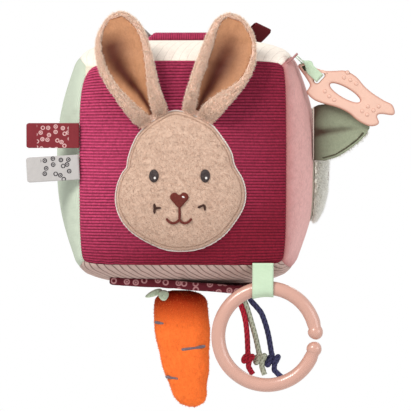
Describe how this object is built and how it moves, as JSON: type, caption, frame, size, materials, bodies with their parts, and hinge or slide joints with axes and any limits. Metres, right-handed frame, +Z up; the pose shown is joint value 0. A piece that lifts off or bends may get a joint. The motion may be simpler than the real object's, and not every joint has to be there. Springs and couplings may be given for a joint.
{
  "type": "soft fabric activity block",
  "caption": "Soft fabric activity cube with a rabbit head and ears in front, ribbon tags, a strap on top, a teether, a hanging ring, knotted cords and a plush carrot.",
  "frame": {"origin": "middle of the flat underside of the strap on top, where a hook or bar carries the block", "axes": "+Z up, the rabbit's face looks towards -Y, +X to the right seen from the front"},
  "size_m": [0.2219, 0.1474, 0.2398],
  "materials": {
    "corduroy_raspberry": "fine corduroy",
    "jersey_sage": "brushed jersey",
    "velour_pink": "velour",
    "corduroy_cream": "wide-wale corduroy",
    "foam": "soft foam",
    "rattle_plastic": "satin",
    "felt_cream": "felt",
    "plush_beige": "short plush",
    "thread_dark": "embroidery thread",
    "thread_brown": "embroidery thread",
    "fluff_pale": "long plush",
    "cotton_print_red": "printed cotton",
    "film_clear": "crinkled film",
    "satin_peach": "satin",
    "ribbon_red": "printed ribbon",
    "ribbon_grey": "printed ribbon",
    "satin_sage": "satin",
    "ribbon_mint": "satin ribbon",
    "silicone_peach": "satin silicone",
    "plastic_peach": "gloss",
    "velour_orange": "velour",
    "felt_leaf": "felt",
    "cord_red": "braided cord",
    "cord_sage": "braided cord",
    "cord_navy": "braided cord",
    "bead_plastic": "satin"
  },
  "bodies": {
    "block": {"front_panel": "corduroy_raspberry", "back_panel": "corduroy_raspberry", "left_panel": "jersey_sage", "right_panel": "velour_pink", "top_panel": "corduroy_cream", "bottom_panel": "corduroy_cream", "core_front_half": "foam", "core_rear_half": "foam", "rattle_front_shell": "rattle_plastic", "rattle_rear_shell": "rattle_plastic", "rabbit_head_backing": "felt_cream", "rabbit_head": "plush_beige", "left_eye": "thread_dark", "right_eye": "thread_dark", "nose": "thread_brown", "mouth": "thread_brown", "top_strap": "corduroy_raspberry", "side_head_backing": "felt_cream", "side_head": "fluff_pale", "side_left_eye": "thread_dark", "side_right_eye": "thread_dark", "side_nose": "thread_brown", "bottom_pocket": "cotton_print_red", "pocket_hem": "cotton_print_red"},
    "left_ear": {"left_ear_back": "plush_beige", "left_ear_film": "film_clear", "left_ear_lining": "satin_peach"},
    "right_ear": {"right_ear_back": "plush_beige", "right_ear_film": "film_clear", "right_ear_lining": "satin_peach"},
    "red_tag": {"red_tag": "ribbon_red"},
    "grey_tag": {"grey_tag": "ribbon_grey"},
    "grey_top_tag": {"grey_top_tag": "ribbon_grey"},
    "red_top_tag": {"red_top_tag": "ribbon_red"},
    "side_near_ear": {"side_near_ear_back": "fluff_pale", "side_near_ear_satin": "satin_sage"},
    "side_far_ear": {"side_far_ear_back": "fluff_pale", "side_far_ear_satin": "satin_sage"},
    "teether_ribbon": {"teether_ribbon": "ribbon_mint"},
    "teether": {"teether": "silicone_peach"},
    "ring_ribbon": {"ring_ribbon": "ribbon_mint"},
    "hanging_ring": {"hanging_ring": "plastic_peach"},
    "carrot": {"carrot_body": "velour_orange", "carrot_left_leaf": "felt_leaf", "carrot_right_leaf": "felt_leaf", "carrot_tether": "ribbon_mint"},
    "cord_bunch": {"red_cord": "cord_red", "red_knot": "cord_red", "sage_cord": "cord_sage", "sage_knot": "cord_sage", "navy_cord": "cord_navy", "navy_knot": "cord_navy"},
    "rattle_beads": {"rattle_bead_1": "bead_plastic", "rattle_bead_2": "bead_plastic", "rattle_bead_3": "bead_plastic"}
  },
  "joints": [
    {"name": "left_ear_flop", "type": "hinge", "parent": "block", "child": "left_ear", "pos_m": [-0.0246, -0.11743, -0.0482], "axis": [1, 0, 0], "range_deg": [-3, 100], "stiffness_Nm_per_rad": 0.02},
    {"name": "right_ear_flop", "type": "hinge", "parent": "block", "child": "right_ear", "pos_m": [0.004, -0.11728, -0.046], "axis": [1, 0, 0], "range_deg": [-3, 100], "stiffness_Nm_per_rad": 0.02},
    {"name": "red_tag_flex", "type": "hinge", "parent": "block", "child": "red_tag", "pos_m": [-0.06809, -0.10805, -0.0607], "axis": [0, 0, 1], "range_deg": [-30, 60], "stiffness_Nm_per_rad": 0.004},
    {"name": "grey_tag_flex", "type": "hinge", "parent": "block", "child": "grey_tag", "pos_m": [-0.06809, -0.10805, -0.0796], "axis": [0, 0, 1], "range_deg": [-30, 60], "stiffness_Nm_per_rad": 0.004},
    {"name": "grey_top_tag_flex", "type": "hinge", "parent": "block", "child": "grey_top_tag", "pos_m": [-0.0356, 0, -0.00133], "axis": [0.6947, 0, 0.7193], "range_deg": [-15, 15], "stiffness_Nm_per_rad": 0.004},
    {"name": "red_top_tag_flex", "type": "hinge", "parent": "block", "child": "red_top_tag", "pos_m": [0.02825, 0.0051, -0.00229], "axis": [0.649, 0.687, -0.327], "range_deg": [-12, 25], "stiffness_Nm_per_rad": 0.004},
    {"name": "side_near_ear_flex", "type": "hinge", "parent": "block", "child": "side_near_ear", "pos_m": [0.07213, -0.079, -0.0594], "axis": [0, 0, 1], "range_deg": [0, 12], "stiffness_Nm_per_rad": 0.02},
    {"name": "side_far_ear_flex", "type": "hinge", "parent": "block", "child": "side_far_ear", "pos_m": [0.07152, -0.009, -0.0594], "axis": [0, 0, 1], "range_deg": [-12, 30], "stiffness_Nm_per_rad": 0.02},
    {"name": "teether_ribbon_swing", "type": "hinge", "parent": "block", "child": "teether_ribbon", "pos_m": [0.0616, -0.0839, -0.0123], "axis": [0, 1, 0], "range_deg": [-50, 0]},
    {"name": "teether_turn", "type": "hinge", "parent": "teether_ribbon", "child": "teether", "pos_m": [0.076, -0.0839, -0.0259], "axis": [0, 1, 0], "range_deg": [-12, 0]},
    {"name": "ring_ribbon_swing", "type": "hinge", "parent": "block", "child": "ring_ribbon", "pos_m": [0.0424, -0.1074, -0.1378], "axis": [1, 0, 0], "range_deg": [-100, 8]},
    {"name": "ring_turn", "type": "hinge", "parent": "ring_ribbon", "child": "hanging_ring", "pos_m": [0.0448, -0.1074, -0.1814], "axis": [0, 1, 0], "range_deg": [-60, 210]},
    {"name": "carrot_swing", "type": "hinge", "parent": "block", "child": "carrot", "pos_m": [-0.0073, -0.069, -0.15635], "axis": [1, 0, 0], "range_deg": [-10, 40]},
    {"name": "cord_bunch_swing", "type": "hinge", "parent": "block", "child": "cord_bunch", "pos_m": [0.03043, -0.08049, -0.16023], "axis": [1, 0, 0], "range_deg": [-45, 45]},
    {"name": "rattle_beads_shake", "type": "slide", "parent": "block", "child": "rattle_beads", "axis": [0, 0, 1], "range_m": [0, 0.014]}
  ]
}
